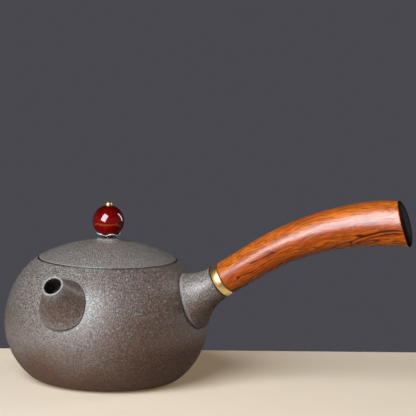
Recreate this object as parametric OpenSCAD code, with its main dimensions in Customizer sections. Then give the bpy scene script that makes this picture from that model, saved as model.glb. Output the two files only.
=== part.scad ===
// Side-handled stoneware teapot with a loose inset lid, a bead knob and a turned wooden handle.
// Millimetres, +Z up. The origin is the centre of the flat foot, on the axis of the pot.
// The spout points along -Y. The handle leaves the pot near +X.

/* [Pot body] */
// Radius of the pot at its widest
body_r = 50; // [46:0.5:54]
// Height of the widest level above the foot
belly_z = 28.6; // [26:0.2:32]
// Radius of the flat foot
foot_r = 29.9; // [27:0.1:31]
// Radius of the curve from the foot into the side
foot_corner = 13; // [10:0.5:15]
// Outer radius of the lip round the mouth
lip_r = 34.7; // [33:0.1:37]
// Height of the lip
lip_z = 59.8; // [57:0.2:64]
// Thickness of the thrown wall
wall_t = 3.2; // [2.4:0.1:4]
// Thickness of the floor
floor_t = 4; // [3:0.1:6]

/* [Lid seat] */
// Width of the flat top of the lip
lip_w = 0.8; // [0.6:0.1:1.4]
// Depth of the lid seat below the lip
seat_depth = 3; // [2.4:0.1:4]
// How far the seat reaches in from the lip
seat_w = 4.3; // [3.4:0.1:6]
// Thickness of the seat at its inner edge
seat_t = 3; // [2:0.1:4]
// Slope of the underside of the seat, in degrees
seat_slope = 25; // [10:1:40]

/* [Lid] */
// Gap between the edge of the lid and the lip
lid_gap = 0.3; // [0.2:0.05:0.6]
// Gap under the lid where it sits
lid_rest_gap = 0.15; // [0.05:0.05:0.3]
// How far the edge of the lid stands above the lip
lid_edge_up = 0.65; // [0.2:0.05:1.5]
// Rise of the dome from its edge to its crown
lid_dome_h = 8.5; // [7:0.1:11]
// Thickness of the dome
lid_t = 3.2; // [2.4:0.1:4]
// Depth of the locating ring under the lid
ring_h = 7; // [4:0.5:10]
// Thickness of the locating ring
ring_t = 2.8; // [2:0.1:4]
// Gap between the locating ring and the throat
ring_gap = 0.5; // [0.3:0.05:1]
// Bore of the air hole
vent_d = 2.4; // [1.5:0.1:4]
// Distance of the air hole from the axis
vent_r = 15; // [12:0.5:19]

/* [Knob] */
// Radius of the top of the boss that carries the knob
boss_r = 5.4; // [4.6:0.1:6.5]
// Radius where the boss runs out into the dome
boss_foot_r = 9; // [7.5:0.1:11]
// Height of the boss above the crown of the dome
boss_h = 1.2; // [0.8:0.1:2.5]
// Hollow of the curve round the boss
boss_sag = 0.3; // [0.1:0.05:0.6]
// Rounding of the top edge of the boss
boss_round = 0.8; // [0.3:0.1:1.1]
// Radius of the flat pad under the crown
pad_r = 5.5; // [4.5:0.1:7]
// Thickness of the pad below the dome
pad_t = 0.7; // [0.4:0.1:1.5]
// Diameter of the stone bead
bead_d = 15.7; // [12:0.1:19]
// Diameter of the round head of the pin
head_d = 3.5; // [2.8:0.1:5]
// How far the head stands above the bead
head_up = 1.8; // [1.2:0.1:2]
// Diameter of the pin
pin_d = 1.8; // [1.4:0.1:2.2]
// Gap round the pin in each hole
pin_gap = 0.1; // [0.05:0.05:0.2]
// Gap between the bead and the metal round it
bead_gap = 0.1; // [0.05:0.05:0.2]
// Thickness of the petalled cap
petal_t = 0.5; // [0.4:0.1:0.8]
// Number of petals on the cap
petal_count = 5; // [5:1:9]
// Radius of the rounded tip of a petal
petal_tip_r = 2.4; // [1.9:0.05:2.8]
// Distance of the tips' centres from the axis
petal_reach = 3.7; // [2.8:0.1:4.2]
// Turn of the cap on the boss, in degrees
petal_turn = 29; // [0:1:71]
// Thickness of the washer under the lid
washer_t = 0.6; // [0.4:0.1:1]
// Diameter of the washer
washer_d = 6.4; // [5.4:0.1:8]
// Width of the nut across its flats
nut_w = 4; // [3.4:0.1:5]
// Thickness of the nut
nut_t = 1.8; // [1.2:0.1:2.5]
// Length of pin below the nut
pin_tail = 0.8; // [0.4:0.1:1.5]

/* [Spout] */
// Drop from the lip to where the axis of the spout meets the shoulder
spout_drop = 13.8; // [12.4:0.1:15.4]
// Rise of the spout from the level, in degrees
spout_rise = 38.8; // [34:0.2:44]
// Length of the spout out from the wall
spout_len = 13.1; // [11:0.1:16]
// Outer diameter of the spout at its rim
spout_rim_d = 10.4; // [9.6:0.1:12.4]
// Bore of the spout at its rim
spout_bore_d = 8.2; // [7:0.1:8.8]
// Radius of the foot of the spout
spout_foot_r = 14; // [13:0.1:15]
// Depth in from the wall where the flare of the spout meets its foot
spout_foot_in = 4.2; // [3:0.1:5]
// Hollow of the curve along the spout
spout_sag = 0.7; // [0.2:0.1:1]
// Radius of the hole in the wall behind the spout
spout_hole_r = 8; // [6.5:0.1:8.8]

/* [Strainer] */
// Thickness of the domed plate
strainer_t = 1.8; // [1.4:0.1:2.2]
// Rise of the dome into the pot
strainer_dome_h = 4.5; // [3:0.1:6]
// Thickness of the rim that sits in the wall
strainer_rim_t = 1.2; // [1:0.1:1.6]
// Depth that the rim is set back from the outside of the wall
strainer_back = 0.8; // [0.4:0.1:1.2]
// Bore of each hole in the strainer
strainer_hole_d = 1.8; // [1.2:0.1:2]
// Angle between the rings of holes, in degrees
strainer_step = 17; // [16:0.5:19]
// Number of rings of holes round the middle one
strainer_rings = 2; // [1:1:2]

/* [Handle socket] */
// Turn of the handle past square to the spout, in degrees
handle_turn = 4; // [0:1:12]
// Drop from the lip to where the axis of the socket meets the shoulder
socket_drop = 14.8; // [13.4:0.1:16.4]
// Rise of the socket from the level, in degrees
handle_rise = 33.4; // [29:0.2:38]
// Length of the socket out from the wall
socket_len = 14.7; // [12:0.1:18]
// Outer diameter of the socket at its end
socket_end_d = 16.4; // [15.6:0.1:18]
// Radius of the foot of the socket
socket_foot_r = 15.3; // [14.2:0.1:16.4]
// Depth in from the wall where the flare of the socket meets its foot
socket_foot_in = 3; // [2:0.1:4.5]
// Hollow of the curve along the socket
socket_sag = 1.9; // [1:0.1:2.2]
// Width of the joint line where clay is luted to clay
lute_gap = 0.1; // [0.05:0.05:0.2]

/* [Handle] */
// Length of the brass ferrule
ferrule_w = 3.8; // [2.5:0.1:5]
// Outer diameter of the ferrule
ferrule_d = 15.9; // [15:0.1:17]
// Crown of the outside of the ferrule
ferrule_crown = 0.25; // [0.1:0.05:0.5]
// Glue line on each side of the ferrule
glue_gap = 0.15; // [0.05:0.05:0.3]
// Diameter of the tenon that the grip is fixed by
tenon_d = 11; // [9:0.1:12]
// Gap round the tenon
tenon_gap = 0.2; // [0.1:0.05:0.4]
// Space left between the tenon and the wall of the pot
tenon_space = 1.6; // [1.4:0.1:3]
// Diameter of the grip where it meets the ferrule
grip_start_d = 16.4; // [15:0.1:17.5]
// Depth that the grip swells to at its far end
grip_end_h = 23; // [20:0.1:26]
// Width that the grip swells to at its far end
grip_end_w = 18; // [16:0.1:22]
// Straight length of the grip next to the ferrule
grip_straight = 19; // [10:1:28]
// Radius of the bend of the grip
grip_bend_r = 133; // [120:1:160]
// Slope of the grip at its far end, in degrees
grip_end_slope = 1; // [0:0.2:6]
// Depth of the grip half way along
grip_mid_h = 18.3; // [17.8:0.1:19.2]
// How much the grip draws in just before its end face
end_draw = 1.6; // [0:0.1:2.4]
// Length over which it draws in
draw_len = 11; // [8:1:16]
// Lean of the end face, in degrees
end_lean = 15.6; // [0:0.2:18]
// Turn of the end face in plan, away from the spout, in degrees
end_skew = 8; // [0:1:16]
// Length over which the grip turns into its end face
lean_len = 18; // [14:1:28]
// Height of the domed end cap
cap_h = 2.7; // [2:0.1:4]
// Diameter of the spigot of the end cap
spigot_d = 6; // [4:0.1:8]
// Length of the spigot of the end cap
spigot_len = 8; // [5:0.5:10]

/* [Hidden] */
$fn = 160;

clay = [0.47, 0.44, 0.41];
brass = [0.83, 0.66, 0.32];
silver = [0.78, 0.77, 0.74];
agate = [0.45, 0.04, 0.03];
rosewood = [0.66, 0.31, 0.12];
horn = [0.09, 0.06, 0.05];

// Overlap that carries a cut cleanly past a face
past = 1;
// The same for the holes of the strainer, short enough to keep them apart inside the dome
drill_past = 0.4;
// How far a luted stem is carried under the wall before it is cut to fit
stem_under = 9;
// Facets of the long shallow arcs
arc_facets = 360;
// Facets of a rounded edge
edge_facets = 32;
// Slope where the rounded edge of the boss runs into its side, in degrees
edge_lean = 20;
// Degrees in a full turn
full_turn = 360;
// Holes in the first ring of the strainer, and as many more in each ring outside it
ring_holes = 6;
// Sides of the nut
nut_sides = 6;
// Sides and rings of the swept grip
grip_sides = 32;
grip_rings = 30;

// The shoulder is one arc from the belly to the lip, upright at the belly
shoulder_in = body_r - lip_r;
shoulder_up = lip_z - belly_z;
shoulder_arc = (pow(shoulder_in, 2) + pow(shoulder_up, 2)) / (2 * shoulder_in);
shoulder_c = [body_r - shoulder_arc, belly_z];

// The lower side is one arc, upright at the belly and running smoothly into the foot corner
lower_in = body_r - foot_r;
lower_up = belly_z - foot_corner;
lower_arc = (pow(lower_in, 2) + pow(lower_up, 2) - pow(foot_corner, 2)) / (2 * (lower_in - foot_corner));
lower_c = [body_r - lower_arc, belly_z];
corner_c = [foot_r, foot_corner];
corner_a = atan2(corner_c[1] - lower_c[1], corner_c[0] - lower_c[0]);

// Lid seat, lid and dome
seat_r = lip_r - lip_w;
seat_z = lip_z - seat_depth;
throat_r = seat_r - seat_w;
lid_r = seat_r - lid_gap;
lid_z = seat_z + lid_rest_gap;
lid_edge_z = lip_z + lid_edge_up;
dome_arc = (pow(lid_r, 2) + pow(lid_dome_h, 2)) / (2 * lid_dome_h);
dome_z = lid_edge_z + lid_dome_h - dome_arc;
crown_z = dome_z + dome_arc;
ring_r = throat_r - ring_gap;
ring_in_r = ring_r - ring_t;
boss_z = crown_z + boss_h;
boss_foot_z = dome_z + sqrt(pow(dome_arc, 2) - pow(boss_foot_r, 2));
boss_edge = [boss_r - boss_round, boss_z - boss_round];
pad_z = crown_z - lid_t - pad_t;

// Knob, from the boss upwards
bead_r = bead_d / 2;
pin_hole_r = pin_d / 2 + pin_gap;
cup_in_r = bead_r + bead_gap;
cup_r = cup_in_r + petal_t;
bead_z = boss_z + cup_r;
head_r = head_d / 2;
head_z = bead_z + bead_r + head_up - head_r;
nut_z = pad_z - washer_t - nut_t;
pin_end_z = nut_z - pin_tail;

// Spout and handle axes
spout_turn = -90;
strainer_r = spout_hole_r - lute_gap;
strainer_arc = (pow(strainer_r, 2) + pow(strainer_dome_h, 2)) / (2 * strainer_dome_h);
strainer_c = strainer_arc - strainer_dome_h - wall_t;
tenon_hole_r = tenon_d / 2 + tenon_gap;
ferrule_from = socket_len + glue_gap;
grip_from = ferrule_from + ferrule_w + glue_gap;
bend_turn = handle_rise - grip_end_slope;
bend_len = grip_bend_r * bend_turn * PI / 180;
grip_len = grip_straight + bend_len;
grip_swell = ln((grip_end_h - grip_start_d) / (grip_mid_h - grip_start_d)) / ln(2);

// Radius and centre of an arc through p and q that dips by sag to the right of the way from p to q
function sag_radius(p, q, sag) = (pow(norm(q - p), 2) / 4 + pow(sag, 2)) / (2 * sag);
function sag_centre(p, q, sag) =
    let (way = (q - p) / norm(q - p))
    (p + q) / 2 + [-way[1], way[0]] * (sag_radius(p, q, sag) - sag);

// Point of the shoulder at a drop below the lip
function shoulder_at(drop) =
    let (up = shoulder_up - drop)
    shoulder_c + [sqrt(pow(shoulder_arc, 2) - pow(up, 2)), up];

// Slope of the grip in degrees, its bend alone, and its centre line in the plane of the handle
function slope_at(l) = handle_rise - bent_at(l);
function bent_at(l) = max(l - grip_straight, 0) / grip_bend_r * 180 / PI;
function grip_at(l) =
    let (start = shoulder_at(socket_drop) + grip_from * [cos(handle_rise), sin(handle_rise)])
    let (straight = min(l, grip_straight))
    let (b = bent_at(l))
    start + straight * [cos(handle_rise), sin(handle_rise)]
    + grip_bend_r * [sin(handle_rise) - sin(handle_rise - b), cos(handle_rise - b) - cos(handle_rise)];

// Smooth step from 0 to 1, and what it shapes along the grip: lean, skew, draw-in, depth and width
function eased(u) = let (v = min(max(u, 0), 1)) v * v * (3 - 2 * v);
function lean_at(l) = end_lean * eased((l - grip_len + lean_len) / lean_len);
function skew_at(l) = end_skew * eased((l - grip_len + lean_len) / lean_len);
function drawn_at(l) = end_draw * eased((l - grip_len + draw_len) / draw_len);
function swelled(l, end_d) =
    grip_start_d + (end_d - grip_start_d) * pow(l / grip_len, grip_swell) - drawn_at(l);
function half_h(l) = swelled(l, grip_end_h) / 2 / cos(lean_at(l));
function half_w(l) = swelled(l, grip_end_w) / 2;

// One oval ring of the grip, turned by its lean and its skew
function grip_ring(l) =
    let (c = grip_at(l))
    let (a = slope_at(l) + lean_at(l))
    [for (i = [0:grip_sides - 1])
        let (t = full_turn * i / grip_sides)
        let (up = half_h(l) * sin(t))
        let (side = half_w(l) * cos(t))
        let (out = -side * tan(skew_at(l)))
        [c[0] - up * sin(a) + out * cos(a), side, c[1] + up * cos(a) + out * sin(a)]];

// Outline of the pot, half section, set in from the outside by inset
module pot_section(inset, from_z, to_z) {
    lower_z = corner_c[1] + (foot_corner - inset) * sin(corner_a);
    intersection() {
        union() {
            intersection() {
                translate(shoulder_c) circle(shoulder_arc - inset);
                translate([0, belly_z]) square([2 * body_r, 2 * body_r]);
            }
            intersection() {
                translate(lower_c) circle(lower_arc - inset);
                translate([0, lower_z]) square([2 * body_r, belly_z - lower_z]);
            }
            intersection() {
                translate(corner_c) circle(foot_corner - inset);
                translate([0, inset]) square([2 * body_r, lower_z - inset]);
            }
            translate([0, inset]) square([foot_r, belly_z - inset]);
        }
        translate([0, from_z]) square([2 * body_r, to_z - from_z]);
    }
}

// The pot as a solid, grown by the joint line and open above its mouth, that luted pieces are cut to fit
module pot_cutter() {
    rotate_extrude() {
        pot_section(-lute_gap, -lute_gap, lip_z);
        translate([0, lip_z - lute_gap]) square([lip_r, stem_under]);
    }
}

// The seat ring that stands in from the wall under the lid
module seat_ring_section() {
    drop = (body_r - throat_r) * tan(seat_slope);
    polygon([
        [throat_r, seat_z],
        [body_r, seat_z],
        [body_r, seat_z - seat_t - drop],
        [throat_r, seat_z - seat_t]
    ]);
}

// Hollow of the pot below the lid seat
module cavity_section() {
    difference() {
        pot_section(wall_t, floor_t, seat_z);
        seat_ring_section();
    }
}

// Stand on the shoulder with +Z out along a rising axis
module on_shoulder(turn, drop, rise) {
    p = shoulder_at(drop);
    rotate([0, 0, turn])
        translate([p[0], 0, p[1]])
            rotate([0, 90 - rise, 0])
                children();
}

module on_spout() {
    on_shoulder(spout_turn, spout_drop, spout_rise) children();
}

module on_handle() {
    on_shoulder(handle_turn, socket_drop, handle_rise) children();
}

// Half section of a stem whose side is hollow from its end down to its foot, which goes straight in
module flared_section(end_r, end_z, spread_r, spread_in, sag) {
    top = [end_r, end_z];
    low = [spread_r, -spread_in];
    difference() {
        translate([0, -stem_under]) square([spread_r, end_z + stem_under]);
        translate(sag_centre(top, low, sag)) circle(sag_radius(top, low, sag), $fn = arc_facets);
    }
}

module pot_body() {
    color(clay)
        difference() {
            rotate_extrude()
                difference() {
                    pot_section(0, 0, lip_z);
                    cavity_section();
                    translate([0, floor_t + past]) square([throat_r, lip_z]);
                    translate([0, seat_z]) square([seat_r, lip_z]);
                }
            on_spout() translate([0, 0, -2 * wall_t]) cylinder(h = 3 * wall_t, r = spout_hole_r);
        }
}

module spout() {
    color(clay)
        difference() {
            on_spout()
                rotate_extrude()
                    difference() {
                        flared_section(spout_rim_d / 2, spout_len,
                                       spout_foot_r, spout_foot_in, spout_sag);
                        polygon([
                            [0, -stem_under - past],
                            [spout_hole_r, -stem_under - past],
                            [spout_hole_r, 0],
                            [spout_bore_d / 2, spout_len],
                            [spout_bore_d / 2, spout_len + past],
                            [0, spout_len + past]
                        ]);
                    }
            pot_cutter();
        }
}

module strainer() {
    color(clay)
        on_spout()
            difference() {
                rotate_extrude() strainer_section();
                translate([0, 0, strainer_c]) strainer_holes();
            }
}

// Half section of the domed plate and the rim that carries it
module strainer_section() {
    intersection() {
        difference() {
            translate([0, strainer_c]) circle(strainer_arc);
            translate([0, strainer_c]) circle(strainer_arc - strainer_t);
        }
        translate([0, -2 * strainer_arc]) square([strainer_r, 2 * strainer_arc - wall_t]);
    }
    translate([strainer_r - strainer_rim_t, -wall_t]) square([strainer_rim_t, wall_t - strainer_back]);
}

// A middle hole with rings of six, twelve and so on round it, each drilled square to the dome
module strainer_holes() {
    for (ring = [0:strainer_rings])
        for (i = [0:max(ring_holes * ring, 1) - 1])
            rotate([0, 0, full_turn / ring_holes / max(ring, 1) * i])
                rotate([full_turn / 2 - strainer_step * ring, 0, 0])
                    translate([0, 0, strainer_arc - strainer_t - drill_past])
                        cylinder(h = strainer_t + 2 * drill_past, r = strainer_hole_d / 2);
}

module handle_socket() {
    color(clay)
        difference() {
            on_handle()
                rotate_extrude()
                    difference() {
                        flared_section(socket_end_d / 2, socket_len,
                                       socket_foot_r, socket_foot_in, socket_sag);
                        translate([0, -stem_under - past])
                            square([tenon_hole_r, socket_len + stem_under + 2 * past]);
                    }
            pot_cutter();
        }
}

module ferrule() {
    low = [ferrule_d / 2 - ferrule_crown, 0];
    top = [ferrule_d / 2 - ferrule_crown, ferrule_w];
    color(brass)
        on_handle()
            translate([0, 0, ferrule_from])
                rotate_extrude()
                    intersection() {
                        translate([tenon_hole_r, 0]) square([ferrule_d, ferrule_w]);
                        translate(sag_centre(low, top, ferrule_crown))
                            circle(sag_radius(low, top, ferrule_crown), $fn = arc_facets);
                    }
}

module handle_grip() {
    rings = [for (k = [0:grip_rings - 1]) grip_ring(grip_len * k / (grip_rings - 1))];
    points = [for (r = rings) for (p = r) p];
    last = (grip_rings - 1) * grip_sides;
    near_face = [for (i = [0:grip_sides - 1]) i];
    far_face = [for (i = [grip_sides - 1:-1:0]) last + i];
    sides = [
        for (k = [0:grip_sides:last - grip_sides])
            for (i = [0:grip_sides - 1])
                let (j = (i + 1) % grip_sides)
                let (n = k + grip_sides)
                for (tri = [[k + i, n + j, k + j], [k + i, n + i, n + j]])
                    tri
    ];
    color(rosewood)
        difference() {
            union() {
                rotate([0, 0, handle_turn]) polyhedron(points, concat([near_face, far_face], sides));
                on_handle()
                    translate([0, 0, tenon_space])
                        cylinder(h = grip_from - tenon_space + past, r = tenon_d / 2);
            }
            at_grip_end() translate([0, 0, -spigot_len - glue_gap])
                cylinder(h = spigot_len + glue_gap + past, r = spigot_d / 2 + tenon_gap);
        }
}

// Stand on the end face of the grip with +Z out of it
module at_grip_end() {
    c = grip_at(grip_len);
    rotate([0, 0, handle_turn])
        translate([c[0], 0, c[1]])
            rotate([0, 90 - slope_at(grip_len) - end_lean, 0])
                rotate([-end_skew, 0, 0])
                    children();
}

module handle_end_cap() {
    color(horn)
        at_grip_end()
            translate([0, 0, glue_gap]) {
                intersection() {
                    scale([half_h(grip_len), half_w(grip_len) / cos(end_skew), cap_h]) sphere(1);
                    translate([-grip_end_h, -grip_end_w, 0])
                        cube([2 * grip_end_h, 2 * grip_end_w, 2 * cap_h]);
                }
                translate([0, 0, -spigot_len]) cylinder(h = spigot_len + cap_h / 2, r = spigot_d / 2);
            }
}

module lid() {
    foot = [boss_foot_r, boss_foot_z];
    top = boss_edge + boss_round * [cos(edge_lean), sin(edge_lean)];
    color(clay)
        difference() {
            rotate_extrude()
                difference() {
                    union() {
                        intersection() {
                            translate([0, dome_z]) circle(dome_arc);
                            translate([0, lid_z]) square([lid_r, crown_z]);
                        }
                        translate([ring_in_r, lid_z - ring_h]) square([ring_t, ring_h + past]);
                        translate([0, boss_foot_z]) square([boss_edge[0], boss_z - boss_foot_z]);
                        translate(boss_edge) circle(boss_round, $fn = edge_facets);
                        difference() {
                            translate([0, boss_foot_z]) square([boss_foot_r, top[1] - boss_foot_z]);
                            translate(sag_centre(top, foot, boss_sag))
                                circle(sag_radius(top, foot, boss_sag));
                        }
                    }
                    difference() {
                        intersection() {
                            translate([0, dome_z]) circle(dome_arc - lid_t);
                            translate([0, lid_z - past]) square([ring_in_r, crown_z]);
                        }
                        translate([0, pad_z]) square([pad_r, crown_z]);
                    }
                }
            cylinder(h = boss_z + past, r = pin_hole_r);
            translate([0, vent_r, lid_z]) cylinder(h = crown_z, r = vent_d / 2);
        }
}

module petal_cap() {
    color(silver)
        difference() {
            intersection() {
                translate([0, 0, bead_z])
                    difference() {
                        sphere(cup_r);
                        sphere(cup_in_r);
                    }
                translate([0, 0, boss_z])
                    linear_extrude(bead_r)
                        union() {
                            circle(petal_reach);
                            for (i = [0:petal_count - 1])
                                rotate(petal_turn + full_turn / petal_count * i)
                                    translate([petal_reach, 0]) circle(petal_tip_r);
                        }
            }
            translate([0, 0, boss_z - past]) cylinder(h = 2 * past + petal_t, r = pin_hole_r);
        }
}

module knob_bead() {
    color(agate)
        difference() {
            translate([0, 0, bead_z]) sphere(bead_r);
            translate([0, 0, bead_z - bead_d]) cylinder(h = 2 * bead_d, r = pin_hole_r);
            translate([0, 0, head_z]) sphere(head_r + bead_gap);
        }
}

module knob_pin() {
    color(brass)
        union() {
            translate([0, 0, head_z]) sphere(head_r);
            translate([0, 0, pin_end_z]) cylinder(h = head_z - pin_end_z, r = pin_d / 2);
        }
}

module knob_washer() {
    color(brass)
        translate([0, 0, pad_z - washer_t])
            difference() {
                cylinder(h = washer_t, r = washer_d / 2);
                translate([0, 0, -past]) cylinder(h = washer_t + 2 * past, r = pin_hole_r);
            }
}

module knob_nut() {
    color(brass)
        translate([0, 0, nut_z])
            difference() {
                cylinder(h = nut_t, r = nut_w / 2 / cos(full_turn / 2 / nut_sides), $fn = nut_sides);
                translate([0, 0, -past]) cylinder(h = nut_t + 2 * past, r = pin_d / 2 + pin_gap / 2);
            }
}

pot_body();
spout();
strainer();
handle_socket();
ferrule();
handle_grip();
handle_end_cap();
lid();
petal_cap();
knob_bead();
knob_pin();
knob_washer();
knob_nut();
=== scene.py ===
from math import acos, asin, atan2, cos, degrees, hypot, log, pi, radians, sin, sqrt, tan

import bpy
from mathutils import Matrix, Vector


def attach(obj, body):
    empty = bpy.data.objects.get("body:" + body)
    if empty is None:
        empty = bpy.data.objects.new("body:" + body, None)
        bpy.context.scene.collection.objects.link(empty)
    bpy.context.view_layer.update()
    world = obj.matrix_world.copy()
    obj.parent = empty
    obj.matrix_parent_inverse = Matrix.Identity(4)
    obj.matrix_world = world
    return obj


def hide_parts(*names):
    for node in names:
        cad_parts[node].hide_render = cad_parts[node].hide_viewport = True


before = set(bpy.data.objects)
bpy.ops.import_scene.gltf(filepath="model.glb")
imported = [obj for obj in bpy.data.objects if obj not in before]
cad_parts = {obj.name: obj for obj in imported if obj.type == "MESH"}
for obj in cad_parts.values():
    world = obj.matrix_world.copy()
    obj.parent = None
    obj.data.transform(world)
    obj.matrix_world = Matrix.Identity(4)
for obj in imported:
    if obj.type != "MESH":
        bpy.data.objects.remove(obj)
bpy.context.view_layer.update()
mm = 0.001
print("frame loaded:", len(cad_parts), "nodes")


# small helpers for working by hand in object and edit mode

def enter(mode):
    bpy.ops.object.mode_set(mode=mode)


def choose(action):
    bpy.ops.mesh.select_all(action=action)


def deselectAll():
    if bpy.context.object and bpy.context.object.mode != "OBJECT":
        enter("OBJECT")
    bpy.ops.object.select_all(action="DESELECT")


def makeActive(piece):
    deselectAll()
    piece.select_set(True)
    bpy.context.view_layer.objects.active = piece


def nameNew(name):
    piece = bpy.context.object
    piece.name = name
    piece.data.name = name
    return piece


def pick(sizes, *keys):
    return [sizes[key] for key in keys]


def turnBy(angle, axis):
    return Matrix.Rotation(radians(angle), 4, axis)


def steps(first, last, count):
    return [first + (last - first) * i / count for i in range(count + 1)]


def arcRun(centre, radius, fromDeg, toDeg, count):
    angles = [radians(a) for a in steps(fromDeg, toDeg, count)]
    return [(centre[0] + radius * cos(a), centre[1] + radius * sin(a)) for a in angles]


def sagCircle(first, last, sag):
    # centre and radius of the hollow curve between two points of a half section
    across, drop = last[0] - first[0], first[1] - last[1]
    chord = hypot(across, drop)
    radius = (chord ** 2 / 4 + sag ** 2) / (2 * sag)
    lift = (radius - sag) / chord
    return ((first[0] + last[0]) / 2 + drop * lift, (first[1] + last[1]) / 2 + across * lift), radius


def pullBy(way):
    # in edit mode: draws what is picked out by so many mm
    bpy.ops.mesh.extrude_region_move(TRANSFORM_OT_translate={"value": way * mm})


def latheOutline(name, outline, sides):
    # one point is pulled along the half section (mm), then spun round Z
    deselectAll()
    bpy.ops.mesh.primitive_circle_add(vertices=3, radius=mm)
    piece = nameNew(name)
    enter("EDIT")
    bpy.ops.mesh.select_mode(type="VERT")
    choose("SELECT")
    bpy.ops.mesh.merge(type="CENTER")
    start = Vector((outline[0][0], 0, outline[0][1])) * mm
    bpy.ops.transform.translate(value=start)
    for near, far in zip(outline, outline[1:]):
        pullBy(Vector((far[0] - near[0], 0, far[1] - near[1])))
    choose("SELECT")
    bpy.ops.mesh.spin(steps=sides, angle=2 * pi, center=(0, 0, 0), axis=(0, 0, 1))
    closeUp()
    return piece


def closeUp():
    # in edit mode: weld the seam and the poles, then turn the faces outwards
    choose("SELECT")
    bpy.ops.mesh.remove_doubles(threshold=0.002 * mm)
    bpy.ops.mesh.normals_make_consistent(inside=False)
    enter("OBJECT")


def applyModifier(piece, kind, **settings):
    makeActive(piece)
    modifier = piece.modifiers.new(kind.lower(), kind)
    for key, value in settings.items():
        setattr(modifier, key, value)
    bpy.ops.object.modifier_apply(modifier=modifier.name)


def softenEdges(piece, width, count=3, angle=40):
    applyModifier(piece, "BEVEL", width=width * mm, segments=count, limit_method="ANGLE",
                  angle_limit=radians(angle))


def applyPlace(piece):
    makeActive(piece)
    bpy.ops.object.transform_apply(location=True, rotation=True, scale=True)


def drill(piece, name, sides, radius, depth, stand):
    # a round hole, on a stand in metres
    deselectAll()
    bpy.ops.mesh.primitive_cylinder_add(vertices=sides, radius=radius * mm, depth=depth * mm)
    cutter = nameNew(name)
    cutter.matrix_world = stand
    applyPlace(cutter)
    applyModifier(piece, "BOOLEAN", operation="DIFFERENCE", solver="EXACT", object=cutter)
    bpy.data.objects.remove(cutter)


def standOn(piece, stand):
    # moves a piece made at the origin to a stand given in mm
    piece.matrix_world = Matrix.Scale(mm, 4) @ stand @ Matrix.Scale(1 / mm, 4)
    applyPlace(piece)


def paintValue(piece, name, rule):
    # one number a point, from a rule on its place in mm
    layer = piece.data.attributes.new(name, "FLOAT", "POINT")
    for vertex, entry in zip(piece.data.vertices, layer.data):
        entry.value = rule(vertex.co / mm)


def paintPolish(piece, low, high):
    # hands rub the upper sides smoother than those that face down
    layer = piece.data.attributes.new("polish", "FLOAT", "POINT")
    for vertex, entry in zip(piece.data.vertices, layer.data):
        entry.value = ramp(vertex.normal.z, low, high)


def ramp(value, low, high):
    u = min(max((value - low) / (high - low), 0), 1)
    return u * u * (3 - 2 * u)


def finishPiece(piece, material, body, node, angle=38):
    makeActive(piece)
    bpy.ops.object.shade_smooth_by_angle(angle=radians(angle))
    piece.data.materials.clear()
    piece.data.materials.append(material)
    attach(piece, body)
    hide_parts(node)


# shader helpers

def newMaterial(name):
    material = bpy.data.materials.new(name)
    material.use_nodes = True
    return material, material.node_tree, material.node_tree.nodes["Principled BSDF"]


def plug(tree, node, inputs):
    # links sockets and sets plain values
    for key, value in inputs.items():
        if isinstance(value, bpy.types.NodeSocket):
            tree.links.new(value, node.inputs[key])
        else:
            node.inputs[key].default_value = value


def addNode(tree, kind, inputs=None, **settings):
    node = tree.nodes.new("ShaderNode" + kind)
    for key, value in settings.items():
        setattr(node, key, value)
    plug(tree, node, inputs or {})
    return node.outputs


def mixColours(tree, factor, first, second, blend="MIX"):
    return addNode(tree, "Mix", {0: factor, 6: first, 7: second}, data_type="RGBA", blend_type=blend)[2]


def layOver(tree, base, look, layers):
    # colours of a look over a base, each where its mask shows and as far as its share goes
    for mask, share, colour in layers:
        base = mixColours(tree, times(tree, mask, share), base, look[colour])
    return base


def maths(tree, operation, first, second=0.5, third=0.5):
    return addNode(tree, "Math", {0: first, 1: second, 2: third}, operation=operation)[0]


def times(tree, first, second):
    return maths(tree, "MULTIPLY", first, second)


def timesAdd(tree, value, factor, more):
    return maths(tree, "MULTIPLY_ADD", value, factor, more)


def between(tree, value, low, high):
    # 0 below low, 1 above high, eased; low may be the larger
    return addNode(tree, "MapRange", {"Value": value, "From Min": low, "From Max": high},
                   interpolation_type="SMOOTHSTEP")["Result"]


def betweenMm(tree, value, reach):
    return between(tree, value, reach[0] * mm, reach[1] * mm)


def noise(tree, place, scale, detail, roughness=0.5, distortion=0.0):
    return addNode(tree, "TexNoise", {"Vector": place, "Scale": scale, "Detail": detail,
                                      "Roughness": roughness, "Distortion": distortion})["Fac"]


def bumpOf(tree, height, strength, depth, invert=False):
    return addNode(tree, "Bump", {"Height": height, "Strength": strength, "Distance": depth * mm},
                   invert=invert)["Normal"]


def objectPlace(tree):
    return addNode(tree, "TexCoord")["Object"]


def upward(tree, place):
    return addNode(tree, "SeparateXYZ", {"Vector": place})["Z"]


def attribute(tree, name, output="Fac"):
    return addNode(tree, "Attribute", attribute_name=name)[output]


def newGroup(name, scales, results):
    # takes a place and some scales, gives plain numbers
    group = bpy.data.node_groups.new(name, "ShaderNodeTree")
    group.interface.new_socket(name="Place", in_out="INPUT", socket_type="NodeSocketVector")
    for key, value in scales.items():
        made = group.interface.new_socket(name=key, in_out="INPUT", socket_type="NodeSocketFloat")
        made.default_value = value
    for key in results:
        group.interface.new_socket(name=key, in_out="OUTPUT", socket_type="NodeSocketFloat")
    return group, group.nodes.new("NodeGroupInput").outputs, group.nodes.new("NodeGroupOutput")


# sandy clay: rounded grains, each of its own shade, a few pale, dark or green, and their height
sandShape = {
    "flatten": 1.4,             # grains are lower than they are wide
    "grainEdge": (0.6, 0.2),    # from the edge of a grain in to its full shade
    "paleFrom": (0.8, 0.95),    # which grains are pale, by their random number
    "darkFrom": (0.22, 0.06),
    "fleckEdge": (0.42, 0.12),
    "greenFrom": (0.7, 0.95),
    "domeEdge": (0.8, 0.05),
    "domeLeast": 0.3,           # height of the lowest grain, of 1
}


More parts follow.
